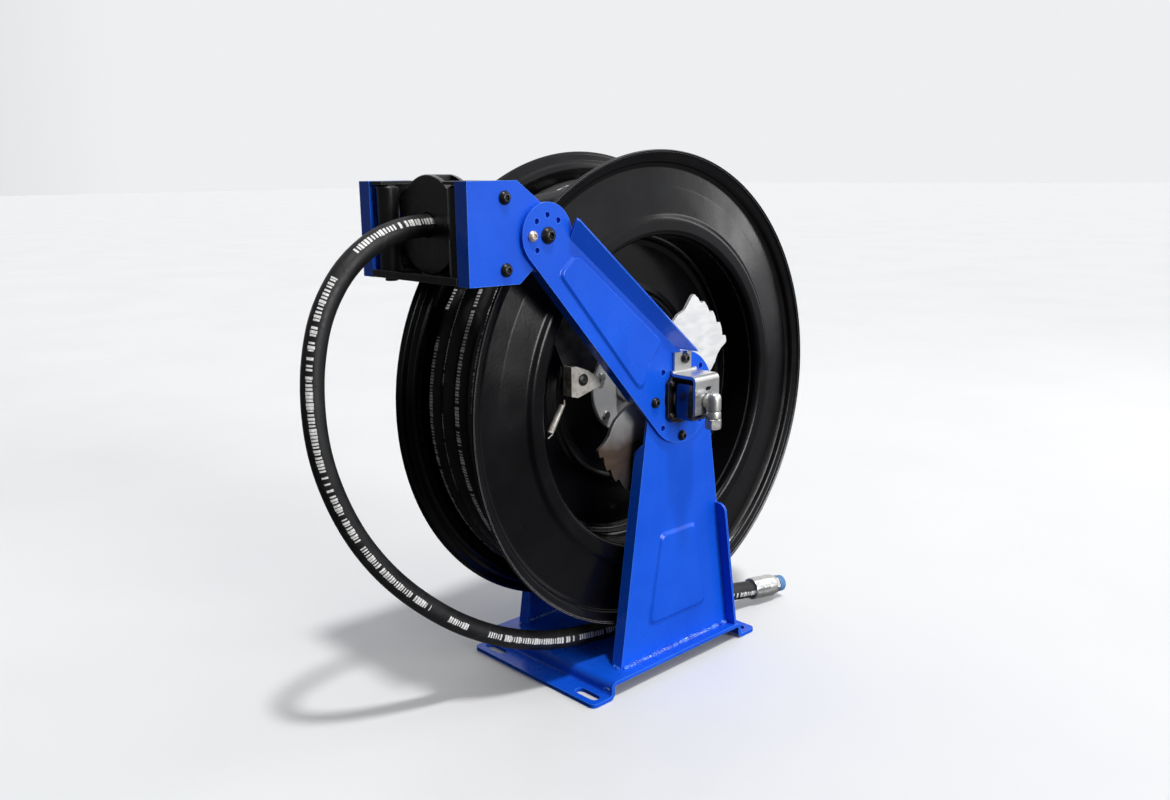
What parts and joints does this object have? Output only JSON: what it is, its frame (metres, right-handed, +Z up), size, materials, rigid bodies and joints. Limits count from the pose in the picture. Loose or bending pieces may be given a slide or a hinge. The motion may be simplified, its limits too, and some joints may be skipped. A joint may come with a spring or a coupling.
{
  "type": "spring rewind hose reel",
  "caption": "Floor-standing spring-rewind hose reel: open drum of wound hose between two posts, inlet swivel, ratchet latch, and an arm-held roller guide with the free hose looping out.",
  "frame": {"origin": "on the floor, under the middle of the reel's box measured without the free hose and its bumper", "axes": "+Z up, +X along the axle to the inlet swivel, -Y to the side where the hose leaves the guide"},
  "size_m": [0.2292, 0.6196, 0.5338],
  "materials": {
    "blue_powder_coat": "glossy powder coat",
    "black_gloss_sheet": "satin to gloss black powder coat",
    "black_oxide_steel": "black oxide",
    "black_nylon": "matt moulded",
    "hose_rubber": "wrapped cloth pattern",
    "zinc_steel": "bright zinc plated",
    "chrome_steel": "bright plated",
    "blue_cap_plastic": "moulded",
    "spring_steel": "oiled strip"
  },
  "bodies": {
    "frame": {"base_plate": "blue_powder_coat", "near_post": "blue_powder_coat", "far_post": "blue_powder_coat", "near_arm": "blue_powder_coat", "far_arm": "blue_powder_coat", "near_head_plate": "blue_powder_coat", "far_head_plate": "blue_powder_coat", "guide_lower_bracket": "black_oxide_steel", "guide_upper_bracket": "black_oxide_steel", "near_side_roller_bolt": "black_oxide_steel", "far_side_roller_bolt": "black_oxide_steel", "near_bearing_housing": "black_oxide_steel", "far_bearing_flange": "black_oxide_steel", "near_pivot_bolt": "black_oxide_steel", "far_pivot_bolt": "black_oxide_steel", "near_head_screw_lower": "black_oxide_steel", "near_head_screw_upper": "black_oxide_steel", "far_head_screw_lower": "black_oxide_steel", "far_head_screw_upper": "black_oxide_steel", "arm_bolt_top": "black_oxide_steel", "arm_bolt_front": "black_oxide_steel", "arm_bolt_low": "black_oxide_steel", "bumper_screw_near": "black_oxide_steel", "bumper_screw_far": "black_oxide_steel", "bumper_upper_half": "black_nylon", "bumper_lower_half": "black_nylon", "free_hose": "hose_rubber", "feed_hose": "hose_rubber", "lower_roller_axle": "zinc_steel", "upper_roller_axle": "zinc_steel", "swivel_stem": "zinc_steel", "inlet_elbow": "zinc_steel", "inlet_nut": "zinc_steel", "stay_bracket": "zinc_steel", "ratchet_plate": "zinc_steel", "spring_anchor_shaft": "zinc_steel", "near_set_bolt": "zinc_steel", "far_set_bolt": "zinc_steel", "hose_ferrule": "zinc_steel", "hose_nipple": "zinc_steel", "swivel_body": "chrome_steel", "hose_cap": "blue_cap_plastic"},
    "drum": {"near_disc": "black_gloss_sheet", "far_disc": "black_gloss_sheet", "drum_barrel": "black_gloss_sheet", "drum_web": "black_gloss_sheet", "hub_shaft": "zinc_steel", "hub_flange": "zinc_steel", "spring_canister": "black_gloss_sheet", "power_spring": "spring_steel", "wound_hose": "hose_rubber", "outlet_pipe": "zinc_steel", "pawl_bracket": "black_oxide_steel", "pawl_pin": "black_oxide_steel", "pawl_spring": "zinc_steel"},
    "pawl": {"ratchet_pawl": "zinc_steel"},
    "lower_level_roller": {"lower_roller": "black_nylon"},
    "upper_level_roller": {"upper_roller": "black_nylon"},
    "near_upright_roller": {"near_side_roller": "black_nylon"},
    "far_upright_roller": {"far_side_roller": "black_nylon"}
  },
  "joints": [
    {"name": "drum_spin", "type": "hinge", "parent": "frame", "child": "drum", "pos_m": [-0.01905, 0.008, 0.289], "axis": [1, 0, 0], "continuous": true},
    {"name": "pawl_pivot", "type": "hinge", "parent": "drum", "child": "pawl", "pos_m": [0.03645, -0.104, 0.319], "axis": [1, 0, 0], "range_deg": [-25, 25], "stiffness_Nm_per_rad": 0.3},
    {"name": "lower_roller_spin", "type": "hinge", "parent": "frame", "child": "lower_level_roller", "pos_m": [-0.01905, -0.1993, 0.4435], "axis": [1, 0, 0], "continuous": true},
    {"name": "upper_roller_spin", "type": "hinge", "parent": "frame", "child": "upper_level_roller", "pos_m": [-0.01905, -0.1993, 0.4905], "axis": [1, 0, 0], "continuous": true},
    {"name": "near_side_roller_spin", "type": "hinge", "parent": "frame", "child": "near_upright_roller", "pos_m": [0.03395, -0.2395, 0.463], "axis": [0, 0, 1], "continuous": true},
    {"name": "far_side_roller_spin", "type": "hinge", "parent": "frame", "child": "far_upright_roller", "pos_m": [-0.07205, -0.2395, 0.463], "axis": [0, 0, 1], "continuous": true}
  ]
}
